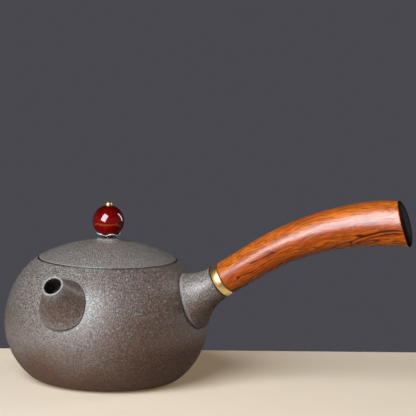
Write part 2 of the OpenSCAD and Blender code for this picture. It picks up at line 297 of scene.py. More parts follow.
def makeSandGroup():
    group, given, out = newGroup("sandyClay", {"Grain Scale": 1620.0, "Fleck Scale": 590.0},
                                 ("Grit", "Pale", "Dark", "Green", "Height"))

    def cells(place, scale):
        # distance from the middle of a grain, and its random numbers
        found = addNode(group, "TexVoronoi", {"Vector": place, "Scale": scale})
        return found["Distance"], addNode(group, "SeparateColor", {"Color": found["Color"]})

    def within(value, key):
        return between(group, value, *sandShape[key])

    squash = (1.0, 1.0, sandShape["flatten"])
    flat = addNode(group, "Mapping", {"Vector": given["Place"], "Scale": squash})
    away, shade = cells(flat["Vector"], given["Grain Scale"])
    fleckAway, tint = cells(given["Place"], given["Fleck Scale"])
    inGrain, least = within(away, "grainEdge"), sandShape["domeLeast"]
    tall = timesAdd(group, shade["Blue"], 1 - least, least)
    plug(group, out, {
        "Grit": shade["Green"],
        "Pale": times(group, within(shade["Red"], "paleFrom"), inGrain),
        "Dark": times(group, within(shade["Red"], "darkFrom"), inGrain),
        "Green": times(group, within(tint["Blue"], "greenFrom"), within(fleckAway, "fleckEdge")),
        "Height": times(group, within(away, "domeEdge"), tall)})
    return group


# figured wood: broad layers, fine streaks, thin dark veins and short pores, all long in X
def makeWoodGroup():
    group, given, out = newGroup("figuredWood", {"Layer Scale": 150.0, "Vein Scale": 85.0},
                                 ("Layers", "Streaks", "Veins", "Pores"))
    place = given["Place"]
    drift = addNode(group, "TexNoise", {"Vector": place, "Scale": 32.0, "Detail": 1.0})
    reach = (0.0, 9 * mm, 9 * mm)
    sway = addNode(group, "VectorMath", {0: drift["Color"], 1: reach}, operation="MULTIPLY")
    bent = addNode(group, "VectorMath", {0: place, 1: sway["Vector"]}, operation="ADD")

    def stretched(amount, *settings):
        # noise drawn out along the plank
        long = addNode(group, "Mapping", {"Vector": bent["Vector"], "Scale": (amount, 1.0, 1.0)})
        return noise(group, long["Vector"], *settings)

    swell = stretched(0.05, given["Vein Scale"], 3.0, 0.5, 0.6)
    contour = maths(group, "PINGPONG", times(group, swell, 7.0), 0.5)
    fade = between(group, stretched(0.1, 75.0, 1.0), 0.46, 0.56)
    plug(group, out, {
        "Layers": stretched(0.09, given["Layer Scale"], 4.0, 0.6),
        "Streaks": stretched(0.04, 1350.0, 2.0, 0.6),
        "Veins": times(group, between(group, contour, 0.07, 0.015), fade),
        "Pores": between(group, stretched(0.1, 2000.0, 1.0), 0.5, 0.6)})
    return group


# polished metal: faint turning lines along one way and a slow tarnish
def makeMetalGroup():
    group, given, out = newGroup("turnedMetal", {"Line Scale": 2500.0, "Tarnish Scale": 260.0},
                                 ("Lines", "Tarnish"))
    thin = addNode(group, "Mapping", {"Vector": given["Place"], "Scale": (0.03, 0.03, 1.0)})
    plug(group, out, {"Lines": noise(group, thin["Vector"], given["Line Scale"], 2.0),
                      "Tarnish": noise(group, given["Place"], given["Tarnish Scale"], 3.0)})
    return group


sandyClay = makeSandGroup()
figuredWood = makeWoodGroup()
turnedMetal = makeMetalGroup()


# unglazed stoneware: brown low down and where flashed (fired colour, and painted shade on the side away
# from the light), painted shade in a seam, paler where rubbed (wear, and a painted highlight)
def makeStoneware(name, look):
    material, tree, shader = newMaterial(name)
    place = objectPlace(tree)
    sand = addNode(tree, "Group", {"Place": place, "Grain Scale": look["grainScale"],
                                   "Fleck Scale": look["fleckScale"]}, node_tree=sandyClay)
    lift = maths(tree, "SUBTRACT", noise(tree, place, look["cloudScale"], 3.0), 0.5)
    drift = timesAdd(tree, lift, look["cloudReach"] * mm, upward(tree, place))
    upper = betweenMm(tree, drift, look["fleckFrom"])
    flashShade, wearHighlight, seamShade, polish = (attribute(tree, key) for key in ("flashShade", "wearHighlight", "seamShade", "polish"))

    def fullAbove(mask, least, share):
        # a share that is whole where the mask is 1 and falls to its least part where that is 0
        return timesAdd(tree, mask, (1 - least) * share, least * share)

    # brown where flashed: fired colour, and painted shade on the side away from the light
    warm = maths(tree, "MAXIMUM", betweenMm(tree, drift, look["warmFrom"]), flashShade)
    base = mixColours(tree, warm, look["grey"], look["brown"])
    # each grain keeps part of the light of the clay under it; grains stand out more where flashed, as
    # painted relief shading on the side away from the light
    shadeShare = fullAbove(maths(tree, "MAXIMUM", upper, flashShade), look["shadeLeast"], look["shadeShare"])
    gritty = times(tree, between(tree, sand["Grit"], 1.0, 0.1), shadeShare)
    base = mixColours(tree, gritty, base, look["shade"], "MULTIPLY")
    base = layOver(tree, base, look, [
        (sand["Dark"], look["darkShare"], "dark"),
        (sand["Pale"], fullAbove(upper, look["paleLeast"], look["paleShare"]), "pale"),
        (sand["Green"], times(tree, upper, look["greenShare"]), "green"),
        # paler by wear, and a painted highlight on the lid's edge where it faces the light
        (wearHighlight, look["wearHighlightShare"], "wornAndLit"),
        # painted shade in the seams
        (seamShade, 1.0, "seamShade")])
    rough = timesAdd(tree, polish, look["polished"] - look["roughness"], look["roughness"])
    rough = timesAdd(tree, sand["Pale"], -0.1, rough)
    rough = timesAdd(tree, wearHighlight, -0.1 * look["wearHighlightShare"], rough)
    plug(tree, shader, {
        "Base Color": base, "Roughness": rough, "Specular IOR Level": look["gloss"],
        "Coat Weight": times(tree, polish, look["coat"]),
        "Coat Roughness": look["coatRough"], "Coat IOR": look["coatIor"],
        "Normal": bumpOf(tree, sand["Height"], look["bump"], look["bumpDepth"])})
    return material


clayLook = {
    "grey": (0.34, 0.296, 0.258, 1),
    "brown": (0.148, 0.055, 0.016, 1),
    "shade": (0.3, 0.25, 0.21, 1),   # share of its light that the darkest grain keeps
    "dark": (0.04, 0.03, 0.025, 1),
    "pale": (0.55, 0.51, 0.49, 1),
    "green": (0.22, 0.46, 0.41, 1),
    # worn edges, and the painted highlight on the lid's lit edge
    "wornAndLit": (0.44, 0.4, 0.38, 1),
    # painted shade in seams and joints
    "seamShade": (0.02, 0.015, 0.013, 1),
    "grainScale": 1620.0, "fleckScale": 590.0,
    "shadeShare": 0.9, "darkShare": 0.75, "paleShare": 0.7, "greenShare": 0.8, "wearHighlightShare": 0.6,
    "shadeLeast": 0.6, "paleLeast": 0.5,   # part of a share which is left low down
    "cloudScale": 38.0, "cloudReach": 26.0,   # mm that the brown drifts up and down
    "warmFrom": (36.0, 3.0),     # mm up, from all grey to all brown
    "fleckFrom": (10.0, 46.0),   # mm up, from no green flecks to all of them
    "roughness": 0.8, "polished": 0.34,   # where hands and cloth have passed
    "gloss": 0.8, "coat": 0.75, "coatRough": 0.42, "coatIor": 1.75,
    "bump": 1.0, "bumpDepth": 0.4,   # mm
}
# the stems are rubbed smoother; the lid has larger grains and flecks
stemLook = dict(clayLook, shadeShare=0.85, paleShare=0.5, greenShare=0.5, bumpDepth=0.32)
lidLook = dict(clayLook, grainScale=1450.0, fleckScale=430.0, shadeShare=0.55, darkShare=0.5,
               paleShare=0.55, greenShare=0.9, bumpDepth=0.55)
stoneware = makeStoneware("speckledStoneware", clayLook)
stemStoneware = makeStoneware("smoothedStoneware", stemLook)
lidStoneware = makeStoneware("rubbedStoneware", lidLook)
print("clay, wood and metal shaders ready")


# the pot: a thrown shell with a flat foot, a lip and a seat for the lid (mm)

potSize = {
    "bodyR": 50.0, "bellyZ": 28.6, "footR": 29.9, "footCorner": 13.0, "lipR": 34.7, "lipZ": 59.8,
    "wall": 3.2, "floor": 4.0, "lipW": 0.8, "edgeRound": 0.3, "sides": 192,
    "seatDepth": 3.0, "seatW": 4.3, "seatT": 3.0, "seatSlope": 25.0,
    "flashShadeTurn": -15.0, "flashShadeLeast": 0.6,   # where the clay is browner and darker: fired colour, and painted shade on the side away from the light, degrees
    "flashShadeFade": (50.0, 26.0),   # mm up, from the least of it to all
    "warmTurn": -150.0, "warmMost": 0.4, "warmFade": (54.0, 32.0),   # a second, fainter place
    # darkness of the painted shade in the joint under the lid
    "seamDark": 0.95,
    "polishFrom": (-0.3, 0.15),  # how far a face looks up, from dull to polished
}

bodyR, bellyZ, footR, footCorner = pick(potSize, "bodyR", "bellyZ", "footR", "footCorner")
lipR, lipZ, wall, seatT = pick(potSize, "lipR", "lipZ", "wall", "seatT")
shoulderIn = bodyR - lipR
shoulderUp = lipZ - bellyZ
shoulderArc = (shoulderIn ** 2 + shoulderUp ** 2) / (2 * shoulderIn)
shoulderC = (bodyR - shoulderArc, bellyZ)
lowerIn = bodyR - footR
lowerUp = bellyZ - footCorner
lowerSpare = lowerIn - footCorner
lowerArc = (lowerIn ** 2 + lowerUp ** 2 - footCorner ** 2) / (2 * lowerSpare)
lowerC = (bodyR - lowerArc, bellyZ)
cornerC = (footR, footCorner)
cornerDeg = degrees(atan2(cornerC[1] - lowerC[1], cornerC[0] - lowerC[0]))
seatR = lipR - potSize["lipW"]
seatZ = lipZ - potSize["seatDepth"]
throatR = seatR - potSize["seatW"]


def shoulderAt(drop):
    # point of the shoulder at a drop below the lip
    up = shoulderUp - drop
    return shoulderC[0] + sqrt(shoulderArc ** 2 - up ** 2), bellyZ + up


def potGap(place):
    # distance of a point out from the wall of the pot, mm
    r = hypot(place.x, place.y)
    if place.z > bellyZ:
        return hypot(r - shoulderC[0], place.z - shoulderC[1]) - shoulderArc
    return hypot(r - lowerC[0], place.z - lowerC[1]) - lowerArc


def underSeat():
    # where the sloping underside of the seat meets the inside of the wall
    slope = tan(radians(potSize["seatSlope"]))
    r, z = throatR, seatZ - seatT
    while hypot(r - shoulderC[0], z - shoulderC[1]) < shoulderArc - wall:
        r += 0.01
        z = seatZ - seatT - (r - throatR) * slope
    return r, z


def stemFrame(stem):
    # columns: sideways, up and out along the axis of a stem that stands on the shoulder
    r, z = shoulderAt(stem["drop"])
    a, lift = radians(stem["turn"]), radians(stem["rise"])
    level = Vector((cos(a), sin(a), 0))
    side = Vector((-sin(a), cos(a), 0))
    axis = level * cos(lift) + Vector((0, 0, sin(lift)))
    up = axis.cross(side)
    stand = Matrix((side, up, axis)).transposed().to_4x4()
    stand.translation = level * r + Vector((0, 0, z))
    return stand


def makePotShell():
    inner = shoulderArc - wall
    lipDeg = degrees(asin(shoulderUp / shoulderArc))
    meet = underSeat()
    meetDeg = degrees(atan2(meet[1] - shoulderC[1], meet[0] - shoulderC[0]))
    floorDeg = degrees(asin((potSize["floor"] - cornerC[1]) / (footCorner - wall)))
    outline = [(0, 0), (0.5 * footR, 0)]
    outline += arcRun(cornerC, footCorner, -90, cornerDeg, 16)
    outline += arcRun(lowerC, lowerArc, cornerDeg, 0, 28)[1:]
    outline += arcRun(shoulderC, shoulderArc, 0, lipDeg, 34)[1:]
    outline += [(seatR, lipZ), (seatR, seatZ), (throatR, seatZ)]
    outline += [(throatR, seatZ - seatT)]
    outline += arcRun(shoulderC, inner, meetDeg, 0, 24)
    outline += arcRun(lowerC, lowerArc - wall, 0, cornerDeg, 20)[1:]
    outline += arcRun(cornerC, footCorner - wall, cornerDeg, floorDeg, 8)[1:]
    outline += [(0.4 * footR, potSize["floor"]), (0, potSize["floor"])]
    piece = latheOutline("potShell", outline, potSize["sides"])
    softenEdges(piece, potSize["edgeRound"])
    return piece


pot = makePotShell()


# the spout and the handle's socket: flared stems set on the shoulder (mm)

spoutSize = {
    "turn": -90.0, "drop": 13.8, "rise": 38.8, "length": 13.1, "endR": 5.2,
    "boreEndR": 4.1, "boreFootR": 8.0, "footR": 14.0, "footIn": 4.2, "sag": 0.7, "rimRound": 0.5,
    "tuck": 0.45, "gap": 0.1, "sides": 128,   # tuck: rounding of the foot's edge at the seam
    # rim and foot edge paler by wear and painted highlight; painted shade at the end and in the seam at
    # the foot
    "rimWearHighlight": 0.9, "rimDark": 0.0, "footWearHighlight": 0.15, "footDark": 0.85, "polishFrom": (-0.1, 0.4),
}
socketSize = {
    "turn": 4.0, "drop": 14.8, "rise": 33.4, "length": 14.7, "endR": 8.2,
    "boreEndR": 5.7, "boreFootR": 5.7, "footR": 15.3, "footIn": 3.0, "sag": 1.9, "rimRound": 0.35,
    "tuck": 0.4, "gap": 0.1, "sides": 128,
    # rim and foot edge paler by wear and painted highlight; painted shade at the end and in the seam at
    # the foot
    "rimWearHighlight": 0.0, "rimDark": 0.85, "footWearHighlight": 0.7, "footDark": 0.85, "polishFrom": (-0.1, 0.4),
}


def flareRadius(stem, z):
    # hollow curve from the end of the stem down to its foot, which goes straight in
    if z <= -stem["footIn"]:
        return stem["footR"]
    end, foot = (stem["endR"], stem["length"]), (stem["footR"], -stem["footIn"])
    centre, radius = sagCircle(end, foot, stem["sag"])
    return min(stem["footR"], centre[0] - sqrt(radius ** 2 - (z - centre[1]) ** 2))


def boreRadius(stem, z):
    return stem["boreFootR"] + (stem["boreEndR"] - stem["boreFootR"]) * min(max(z / stem["length"], 0), 1)


def meetPot(stem, stand, t, radiusAt):
    # height on the stem's axis where a line of its side meets the pot
    low, high = -14.0, 8.0
    for _ in range(40):
        z = (low + high) / 2
        r = radiusAt(z)
        if potGap(stand @ Vector((r * cos(t), r * sin(t), z))) > stem["gap"]:
            high = z
        else:
            low = z
    return high


def stemLoop(stem, stand, t):
    # closed half section at one turn round the axis: outside, foot edge, seat, bore, rim
    footZ = meetPot(stem, stand, t, lambda z: flareRadius(stem, z))
    edgeZ = footZ + stem["tuck"]
    edgeR = flareRadius(stem, edgeZ)
    topZ = stem["length"] - stem["rimRound"]
    loop = [(flareRadius(stem, z), z) for z in steps(topZ, edgeZ, 40)]
    for a in steps(0, 90, 5)[1:]:
        r = edgeR - stem["tuck"] * (1 - cos(radians(a)))
        z = meetPot(stem, stand, t, lambda _: r)
        loop.append((r, z + stem["tuck"] * (1 - sin(radians(a)))))
    for r in steps(edgeR - stem["tuck"], stem["boreFootR"], 5)[1:]:
        loop.append((r, meetPot(stem, stand, t, lambda _: r)))
    loop += [(boreRadius(stem, z), z) for z in steps(loop[-1][1], topZ, 14)[1:]]
    inside, outside = loop[-1][0], loop[0][0]
    middle, half = (inside + outside) / 2, (outside - inside) / 2
    flat = max(half - stem["rimRound"], 0)
    bend = half - flat

    def rimPoint(centre, a):
        return centre + bend * cos(radians(a)), topZ + stem["rimRound"] * sin(radians(a))

    loop += [rimPoint(middle - flat, a) for a in steps(180, 90, 5)[1:]]
    loop += [rimPoint(middle + flat, a) for a in steps(90, 0, 5)[(0 if flat else 1):-1]]
    return loop


def makeStem(name, stem):
    # lathe the section of one side, then let the foot of every side follow the pot
    stand = stemFrame(stem)
    outline = stemLoop(stem, stand, 0)
    piece = latheOutline(name, outline + outline[:1], stem["sides"])
    loops = {}
    for vertex in piece.data.vertices:
        x, y, z = vertex.co / mm
        r, turn = hypot(x, y), round(atan2(y, x) / (2 * pi) * stem["sides"]) % stem["sides"]
        if turn not in loops:
            loops[turn] = stemLoop(stem, stand, 2 * pi * turn / stem["sides"])
        at = min(range(len(outline)), key=lambda k: (outline[k][0] - r) ** 2 + (outline[k][1] - z) ** 2)
        t = 2 * pi * turn / stem["sides"]
        newR, newZ = loops[turn][at]
        vertex.co = stand @ Vector((newR * cos(t), newR * sin(t), newZ)) * mm
    piece.data.update()
    return piece


def dressStem(piece, stem, flashShadeRule):
    # paler at the rim and along the edge of the foot by wear and painted highlight, painted shade in the
    # seam, brown by the rule, partly painted shade under the socket
    back = stemFrame(stem).inverted()

    def wornAndLit(place):
        atRim = stem["rimWearHighlight"] * ramp((back @ place).z, stem["length"] - 1.3, stem["length"] - 0.5)
        gap = potGap(place)
        return max(atRim, stem["footWearHighlight"] * ramp(gap, 1.5, 0.95) * ramp(gap, 0.5, 0.75))

    def seamShadeAt(place):
        # painted shade at the end of the stem and in the seam at its foot
        atEnd = stem["rimDark"] * ramp((back @ place).z, stem["length"] - 0.55, stem["length"] - 0.25)
        return max(atEnd, stem["footDark"] * ramp(potGap(place), 0.65, 0.3))

    paintValue(piece, "wearHighlight", wornAndLit)
    paintValue(piece, "seamShade", seamShadeAt)
    paintValue(piece, "flashShade", lambda place: flashShadeRule(back @ place))
    paintPolish(piece, *stem["polishFrom"])


def spoutFlash(place):
    # brown round the middle of the spout, grey at its rim and foot
    return 0.7 * ramp(place.z, spoutSize["length"] - 0.8, 8.0) * ramp(place.z, -7.0, 1.0)


def socketUnderShade(place):
    # browner and darker underneath: fired colour, and painted shade on the side that faces down
    return 0.8 * ramp(place.y, 1.0, -8.0)


for name, node, stem, flashShadeRule in (("spoutHorn", "spout", spoutSize, spoutFlash),
                                    ("socketFlare", "handle_socket", socketSize, socketUnderShade)):
    piece = makeStem(name, stem)
    dressStem(piece, stem, flashShadeRule)
    finishPiece(piece, stemStoneware, "pot", node)
print("spout and socket set on the shoulder")


# the hole in the wall behind the spout, then the pot is done

def boreWall():
    stand = stemFrame(spoutSize)
    out = stand.translation - stand.col[2].to_3d() * wall / 2
    drill(pot, "wallBore", 96, spoutSize["boreFootR"], 5 * wall,
          Matrix.Translation(out * mm) @ stand.to_3x3().to_4x4())


def darkLip(place):
    # painted shade in the joint line under the edge of the lid
    r = hypot(place.x, place.y)
    inLip = ramp(r, throatR, seatR - 0.1) * ramp(r, seatR + 0.6, seatR + 0.25)
    return potSize["seamDark"] * inLip * ramp(place.z, lipZ - 4.0, lipZ - 0.6)


def potFlashShade(place):
    # browner and darker under the handle, most of all low down: fired colour, and painted shade on the
    # side away from the light; a little browner on the side away from the handle
    turn, least = atan2(place.y, place.x), potSize["flashShadeLeast"]
    flashShade = ramp(cos(turn - radians(potSize["flashShadeTurn"])), 0.2, 0.95)
    flashShade *= least + (1 - least) * ramp(place.z, *potSize["flashShadeFade"])
    warm = ramp(cos(turn - radians(potSize["warmTurn"])), 0.3, 0.95)
    return max(flashShade, potSize["warmMost"] * warm * ramp(place.z, *potSize["warmFade"]))


boreWall()
paintValue(pot, "seamShade", darkLip)
paintValue(pot, "flashShade", potFlashShade)
paintPolish(pot, *potSize["polishFrom"])
finishPiece(pot, stoneware, "pot", "pot_body")
print("pot thrown:", len(pot.data.polygons), "faces")


# the lid: a shallow dome with a boss, a locating ring and an air hole (mm)

lidSize = {
    "gap": 0.3, "restGap": 0.15, "edgeUp": 0.65, "domeH": 8.5, "thick": 3.2, "edgeRound": 0.35,
    "ringH": 7.0, "ringT": 2.8, "ringGap": 0.5, "ventR": 1.2, "ventOut": 15.0, "ventDepth": 20.0,
    "bossR": 5.4, "bossFootR": 9.0, "bossH": 1.2, "bossSag": 0.3, "bossRound": 0.8,
    "padR": 5.5, "padT": 0.7, "pinHoleR": 1.0, "sides": 192,
    "highlightTurn": -110.0, "edgeHighlight": 0.9, "bossWearHighlight": 0.25,   # where the painted highlight on the edge is strongest, on the side facing the light, degrees
    # darkness of the painted shade down the side of the lid
    "seamDark": 0.95, "polishFrom": (-0.15, 0.35),
}

lidR = seatR - lidSize["gap"]
lidZ = seatZ + lidSize["restGap"]
edgeZ = lipZ + lidSize["edgeUp"]
domeArc = (lidR ** 2 + lidSize["domeH"] ** 2) / (2 * lidSize["domeH"])
domeZ = edgeZ + lidSize["domeH"] - domeArc
crownZ = domeZ + domeArc
bossZ = crownZ + lidSize["bossH"]
padZ = crownZ - lidSize["thick"] - lidSize["padT"]


def sagRun(first, last, sag, count):
    centre, radius = sagCircle(first, last, sag)
    start, end = (degrees(atan2(p[1] - centre[1], p[0] - centre[0])) % 360 for p in (first, last))
    return arcRun(centre, radius, start, end, count)


def makeLid():
    ringR = throatR - lidSize["ringGap"]
    ringIn = ringR - lidSize["ringT"]
    under = domeArc - lidSize["thick"]
    bossFoot = (lidSize["bossFootR"], domeZ + sqrt(domeArc ** 2 - lidSize["bossFootR"] ** 2))
    soft = lidSize["bossRound"]
    outline = [(lidSize["pinHoleR"], bossZ)]
    outline += arcRun((lidSize["bossR"] - soft, bossZ - soft), soft, 90, 20, 8)
    outline += sagRun(outline[-1], bossFoot, lidSize["bossSag"], 10)[1:]
    outline += arcRun((0, domeZ), domeArc, degrees(acos(bossFoot[0] / domeArc)),
                      degrees(acos(lidR / domeArc)), 30)[1:]
    ringEnd = lidZ - lidSize["ringH"]
    outline += [(lidR, lidZ), (ringR, lidZ), (ringR, ringEnd), (ringIn, ringEnd)]
    outline += arcRun((0, domeZ), under, degrees(acos(ringIn / under)),
                      degrees(acos(lidSize["padR"] / under)), 20)
    outline += [(lidSize["padR"], padZ), (lidSize["pinHoleR"], padZ), outline[0]]
    piece = latheOutline("lidDome", outline, lidSize["sides"])
    softenEdges(piece, lidSize["edgeRound"])
    return piece


def lidWearHighlight(place):
    # painted highlight along the front left of the edge, which faces the light, and paler round the top
    # of the boss
    r = hypot(place.x, place.y)
    leftFront = ramp(cos(atan2(place.y, place.x) - radians(lidSize["highlightTurn"])), 0.1, 0.9)
    edge = leftFront * ramp(r, lidR - 0.7, lidR - 0.3) * ramp(place.z, edgeZ - 0.14, edgeZ - 0.04)
    boss = ramp(r, lidSize["bossR"] + 1.0, lidSize["bossR"]) * ramp(place.z, bossZ - 0.8, bossZ - 0.2)
    return max(lidSize["edgeHighlight"] * edge, lidSize["bossWearHighlight"] * boss)


def darkLid(place):
    # painted shade down the side that faces the lip
    atEdge = ramp(hypot(place.x, place.y), lidR - 0.3, lidR - 0.06)
    return lidSize["seamDark"] * atEdge * ramp(place.z, edgeZ - 0.08, edgeZ - 0.2)


lid = makeLid()
drill(lid, "ventDrill", 32, lidSize["ventR"], lidSize["ventDepth"],
      Matrix.Translation((0, lidSize["ventOut"] * mm, crownZ * mm)))
paintValue(lid, "wearHighlight", lidWearHighlight)
paintValue(lid, "seamShade", darkLid)
paintPolish(lid, *lidSize["polishFrom"])
finishPiece(lid, lidStoneware, "lid", "lid")
print("lid made:", len(lid.data.polygons), "faces")


# the knob: petalled cap, stone bead and a pin with a round head (mm)

knobSize = {
    "beadR": 7.85, "beadGap": 0.1, "beadRound": 0.12, "beadSides": 112,
    "headR": 1.75, "headUp": 1.8, "pinR": 0.9, "pinGap": 0.1, "pinTail": 0.8, "pinChamfer": 0.2,
    "pinSides": 56, "washerT": 0.6, "nutT": 1.8,
    "petalT": 0.5, "petalCount": 5, "petalTipR": 2.4, "petalReach": 3.7, "petalTurn": 29.0,
    "petalSeat": 0.36,    # from the bead's gap out to the middle of the sheet
    "petalFlick": 0.15,   # how far the tips bend out
    "petalGroove": 0.08,  # depth of the crease between two petals
    "petalRoll": 0.42, "petalThin": 0.45,   # rolled edge, and the rest as a share of it
    "petalRound": 0.2, "petalRings": 18, "petalSides": 36,   # points round one petal
}

beadR, headR, pinR = pick(knobSize, "beadR", "headR", "pinR")
petalCount, petalReach = pick(knobSize, "petalCount", "petalReach")
cupR = beadR + knobSize["beadGap"] + knobSize["petalT"]
beadZ = bossZ + cupR
headZ = beadZ + beadR + knobSize["headUp"] - headR
pinHoleR = pinR + knobSize["pinGap"]
pinEndZ = padZ - knobSize["washerT"] - knobSize["nutT"] - knobSize["pinTail"]


agateLook = {
    "deep": (0.05, 0.0004, 0.0004, 1),
    "red": (0.1, 0.0008, 0.0006, 1),
    # painted glow: brighter red where light would gather inside the stone
    "clear": (0.19, 0.0008, 0.0006, 1),
    "glowShare": 0.9, "glowWay": (0.41, -0.9, -0.1),   # side of the painted glow, facing the front and a little low
    "glowFrom": (1.5, 7.5),    # mm towards that side
    # a paler band, partly stone banding and partly a painted reflection of the floor
    "bandAndReflection": (0.36, 0.055, 0.012, 1),
    "bandShare": 0.8, "bandSway": 3.0,
    "bandRise": (-0.7, 0.1), "bandFall": (0.9, 0.1),   # mm up from the middle of the bead
    "coatFrom": (-2.5, 0.5),    # mm up, from bare to polished
    "coatIor": 1.75, "ior": 1.54, "gloss": 0.06,
}
brassLook = {
    "bright": (0.92, 0.65, 0.27, 1), "dull": (0.72, 0.47, 0.17, 1), "dullFrom": (0.45, 0.7),
    "metallic": 1.0, "roughness": 0.3, "lineDepth": 0.02,   # mm
}
silverLook = {
    "bright": (0.92, 0.9, 0.86, 1), "dull": (0.7, 0.66, 0.6, 1), "dullFrom": (0.4, 0.75),
    "hollow": (0.045, 0.042, 0.04, 1),   # blackened below the rolled edge of the petals: tarnish, and painted shade where the sheet faces down
    "metallic": 0.5, "roughness": 0.36,
}


def makeAgate():
    # clouded red, with a painted glow on the side facing the front and below, and a paler band through
    # the glow, partly a painted reflection of the floor
    look = agateLook
    material, tree, shader = newMaterial("redAgate")
    centred = addNode(tree, "Mapping", {"Vector": objectPlace(tree), "Location": (0, 0, -beadZ * mm)})
    place = centred["Vector"]
    height = upward(tree, place)
    cloud = noise(tree, place, 170.0, 3.0, 0.55, 0.6)
    base = mixColours(tree, between(tree, cloud, 0.3, 0.7), look["deep"], look["red"])
    # painted glow, brightest on the side facing the front and below
    front = addNode(tree, "VectorMath", {0: place, 1: look["glowWay"]}, operation="DOT_PRODUCT")
    clear = betweenMm(tree, front["Value"], look["glowFrom"])
    level = timesAdd(tree, cloud, look["bandSway"] * mm, height)
    bandAndReflection = times(tree, betweenMm(tree, level, look["bandRise"]), betweenMm(tree, level, look["bandFall"]))
    base = layOver(tree, base, look, [(clear, look["glowShare"], "clear"),
                                      (times(tree, bandAndReflection, clear), look["bandShare"], "bandAndReflection")])
    plug(tree, shader, {
        "Base Color": base, "Roughness": timesAdd(tree, cloud, 0.05, 0.03),
        "Coat Weight": betweenMm(tree, height, look["coatFrom"]), "Coat IOR": look["coatIor"],
        "IOR": look["ior"], "Specular IOR Level": look["gloss"]})
    return material


def makeMetal(name, look):
    material, tree, shader = newMaterial(name)
    metal = addNode(tree, "Group", {"Place": objectPlace(tree)}, node_tree=turnedMetal)
    lines, tarnish = metal["Lines"], metal["Tarnish"]
    base = mixColours(tree, between(tree, tarnish, *look["dullFrom"]), look["bright"], look["dull"])
    rough = timesAdd(tree, lines, 0.12, look["roughness"])
    # tarnish and painted shade below the rolled rim of the petals
    if "hollow" in look:
        base = mixColours(tree, attribute(tree, "rim"), look["hollow"], base)
    else:
        rough = timesAdd(tree, tarnish, 0.1, rough)
        plug(tree, shader, {"Normal": bumpOf(tree, lines, 0.12, look["lineDepth"])})
    plug(tree, shader, {"Base Color": base, "Roughness": rough, "Metallic": look["metallic"]})
    return material


agate = makeAgate()
goldBrass = makeMetal("polishedBrass", brassLook)
silver = makeMetal("pressedSilver", silverLook)


def makeBead():
    cupHole = headR + knobSize["beadGap"]
    above = headZ - beadZ
    # the hollow for the head breaks out of the bead at this height
    meetZ = (above ** 2 + beadR ** 2 - cupHole ** 2) / (2 * above)
    topDeg = degrees(asin(meetZ / beadR))
    lowDeg = degrees(-acos(pinHoleR / beadR))
    hollowTop = degrees(atan2(meetZ - above, sqrt(beadR ** 2 - meetZ ** 2)))
    hollowLow = degrees(-acos(pinHoleR / cupHole))
    outline = arcRun((0, beadZ), beadR, lowDeg, topDeg, 56)
    outline += arcRun((0, headZ), cupHole, hollowTop, hollowLow, 10)[1:]
    outline += [outline[0]]
    piece = latheOutline("beadStone", outline, knobSize["beadSides"])
    softenEdges(piece, knobSize["beadRound"], 2)
    return piece


def makePin():
    # round head, neck and plain shank down through the lid
    slant = knobSize["pinChamfer"]
    startDeg = degrees(-acos(pinR / headR))
    outline = [(0, pinEndZ), (pinR - slant, pinEndZ), (pinR, pinEndZ + slant)]
    outline += arcRun((0, headZ), headR, startDeg, 90, 28)
    piece = latheOutline("pinBall", outline, knobSize["pinSides"])
    return piece


def petalOff(phi):
    # turns from the middle of the nearest petal, as a share of one petal
    return (phi * petalCount / (2 * pi) + 0.5) % 1 - 0.5


def petalEdge(phi):
    # outline of the cap: a round middle with round tips
    a = petalOff(phi) * 2 * pi / petalCount
    inside = knobSize["petalTipR"] ** 2 - (petalReach * sin(a)) ** 2
    lobe = petalReach * cos(a) + sqrt(inside) if inside > 0 else 0
    return max(lobe, petalReach)


def makePetalCap():
    # a ring drawn in step by step, dished to the bead, petals pressed into it, then thickened at the edge
    rings, sides = knobSize["petalRings"], knobSize["petalSides"] * petalCount
    deselectAll()
    bpy.ops.mesh.primitive_circle_add(vertices=sides, radius=petalReach * mm, fill_type="NOTHING")
    piece = nameNew("petalCup")
    enter("EDIT")
    bpy.ops.mesh.select_mode(type="EDGE")
    choose("SELECT")
    for ring in range(rings):
        bpy.ops.mesh.extrude_edges_move()
        shrink = (rings - ring - 1 + 0.3) / (rings - ring + 0.3)
        bpy.ops.transform.resize(value=(shrink, shrink, 1))
    enter("OBJECT")
    turn = radians(knobSize["petalTurn"])
    cup = cupR - knobSize["petalT"]
    least = min(hypot(v.co.x, v.co.y) for v in piece.data.vertices) / mm
    rolled = piece.vertex_groups.new(name="rolledEdge")
    layer = piece.data.attributes.new("rim", "FLOAT", "POINT")
    for vertex, entry in zip(piece.data.vertices, layer.data):
        phi = atan2(vertex.co.y, vertex.co.x)
        share = (hypot(vertex.co.x, vertex.co.y) / mm - least) / (petalReach - least)
        edge = petalEdge(phi)
        r = pinHoleR + (edge - pinHoleR) * share
        groove = knobSize["petalGroove"] * ramp(abs(petalOff(phi)), 0.3, 0.5) * ramp(share, 0.35, 0.9)
        flick = knobSize["petalFlick"] * ramp(share, 0.78, 1.0) * ramp(edge, 4.3, 6.0)
        out = cup + knobSize["petalSeat"] + flick - groove
        z = beadZ - sqrt(max(out ** 2 - r ** 2, 0))
        vertex.co = Vector((r * cos(phi + turn), r * sin(phi + turn), z)) * mm
        rolled.add([vertex.index], ramp(share, 0.84, 0.95), "REPLACE")
        entry.value = ramp(share, 0.82, 0.92)
    enter("EDIT")
    closeUp()
    applyModifier(piece, "SOLIDIFY", thickness=knobSize["petalRoll"] * mm, offset=0.0,
                  vertex_group="rolledEdge", thickness_vertex_group=knobSize["petalThin"])
    softenEdges(piece, knobSize["petalRound"], 3, 50)
    return piece


finishPiece(makeBead(), agate, "lid", "knob_bead")
finishPiece(makePin(), goldBrass, "lid", "knob_pin")
finishPiece(makePetalCap(), silver, "lid", "petal_cap", 50)
print("knob made")


# the handle: ferrule, curved grip and end cap (mm)

